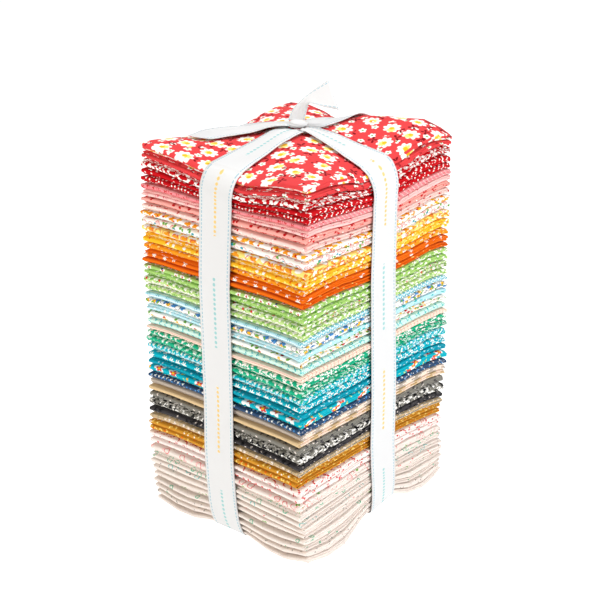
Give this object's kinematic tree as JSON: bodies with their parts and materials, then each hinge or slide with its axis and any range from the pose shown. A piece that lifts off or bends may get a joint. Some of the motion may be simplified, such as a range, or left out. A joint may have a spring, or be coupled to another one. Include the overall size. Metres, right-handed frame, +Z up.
{
  "type": "fat quarter bundle",
  "caption": "Tall stack of folded printed cotton fat quarters, tied both ways with a white ribbon that is knotted on top and leaves two free ends.",
  "frame": {"origin": "middle of the bundle's footprint, on the surface it stands on", "axes": "+Z up through the stack; Y along the longer side of the folded cloths (the last folds lie at the -Y and +Y faces), X along the shorter side; the ribbons run over the X and Y faces and cross on top and underneath"},
  "size_m": [0.1382, 0.1569, 0.291],
  "materials": {
    "red_daisy": "matte",
    "red_blossom": "matte",
    "crimson_branch": "matte",
    "crimson_bud": "matte",
    "crimson_dot": "matte",
    "rose_plaid": "matte",
    "pink_plaid": "matte",
    "salmon_sprig": "matte",
    "pink_sprig": "matte",
    "citrus_patch": "matte",
    "ringed_white": "matte",
    "citrus_lattice": "matte",
    "yellow_flower": "matte",
    "orange_sprig": "matte",
    "orange_pair": "matte",
    "orange_bud": "matte",
    "lime_posy": "matte",
    "lime_bud": "matte",
    "green_white": "matte",
    "olive_leaf": "matte",
    "aqua_plaid": "matte",
    "cream_outline": "matte",
    "aqua_block": "matte",
    "cream_posy": "matte",
    "mint_scallop": "matte",
    "peach_line": "matte",
    "emerald_laurel": "matte",
    "emerald_branch": "matte",
    "teal_print": "matte",
    "teal_white": "matte",
    "teal_plain": "matte",
    "teal_flower": "matte",
    "navy_star": "matte",
    "beige_gingham": "matte",
    "peach_gingham": "matte",
    "grey_sprig": "matte",
    "grey_branch": "matte",
    "charcoal_spot": "matte",
    "tan_sprig": "matte",
    "gold_fleck": "matte",
    "gold_scroll": "matte",
    "white_cherry": "matte",
    "white_berry": "matte",
    "cream_ring": "matte",
    "cream_circle": "matte",
    "cream_spot": "matte",
    "cream_line": "matte",
    "cream_weave": "matte",
    "cream_box": "matte",
    "cream_grid": "matte",
    "cream_stroke": "matte",
    "cream_plain": "matte",
    "ribbon": "soft sheen"
  },
  "bodies": {
    "root": {"fq01_red_daisy": "red_daisy", "fq02_red_blossom": "red_blossom", "fq03_crimson_branch": "crimson_branch", "fq04_crimson_bud": "crimson_bud", "fq05_crimson_dot": "crimson_dot", "fq06_rose_plaid": "rose_plaid", "fq07_pink_plaid": "pink_plaid", "fq08_salmon_sprig": "salmon_sprig", "fq09_pink_sprig": "pink_sprig", "fq10_citrus_patch": "citrus_patch", "fq11_ringed_white": "ringed_white", "fq12_citrus_lattice": "citrus_lattice", "fq13_yellow_flower": "yellow_flower", "fq14_orange_sprig": "orange_sprig", "fq15_orange_pair": "orange_pair", "fq16_orange_bud": "orange_bud", "fq17_lime_posy": "lime_posy", "fq18_lime_bud": "lime_bud", "fq19_green_white": "green_white", "fq20_olive_leaf": "olive_leaf", "fq21_aqua_plaid": "aqua_plaid", "fq22_cream_outline": "cream_outline", "fq23_aqua_block": "aqua_block", "fq24_cream_posy": "cream_posy", "fq25_mint_scallop": "mint_scallop", "fq26_peach_line": "peach_line", "fq27_emerald_laurel": "emerald_laurel", "fq28_emerald_branch": "emerald_branch", "fq29_teal_print": "teal_print", "fq30_teal_white": "teal_white", "fq31_teal_plain": "teal_plain", "fq32_teal_flower": "teal_flower", "fq33_navy_star": "navy_star", "fq34_beige_gingham": "beige_gingham", "fq35_peach_gingham": "peach_gingham", "fq36_grey_sprig": "grey_sprig", "fq37_grey_branch": "grey_branch", "fq38_charcoal_spot": "charcoal_spot", "fq39_tan_sprig": "tan_sprig", "fq40_gold_fleck": "gold_fleck", "fq41_gold_scroll": "gold_scroll", "fq42_white_cherry": "white_cherry", "fq43_white_berry": "white_berry", "fq44_cream_ring": "cream_ring", "fq45_cream_circle": "cream_circle", "fq46_cream_spot": "cream_spot", "fq47_cream_line": "cream_line", "fq48_cream_weave": "cream_weave", "fq49_cream_box": "cream_box", "fq50_cream_grid": "cream_grid", "fq51_cream_stroke": "cream_stroke", "fq52_cream_plain": "cream_plain", "ribbon_front_back": "ribbon", "ribbon_left_right": "ribbon", "ribbon_knot": "ribbon", "ribbon_standing_end": "ribbon", "ribbon_lying_end": "ribbon"}
  },
  "joints": []
}
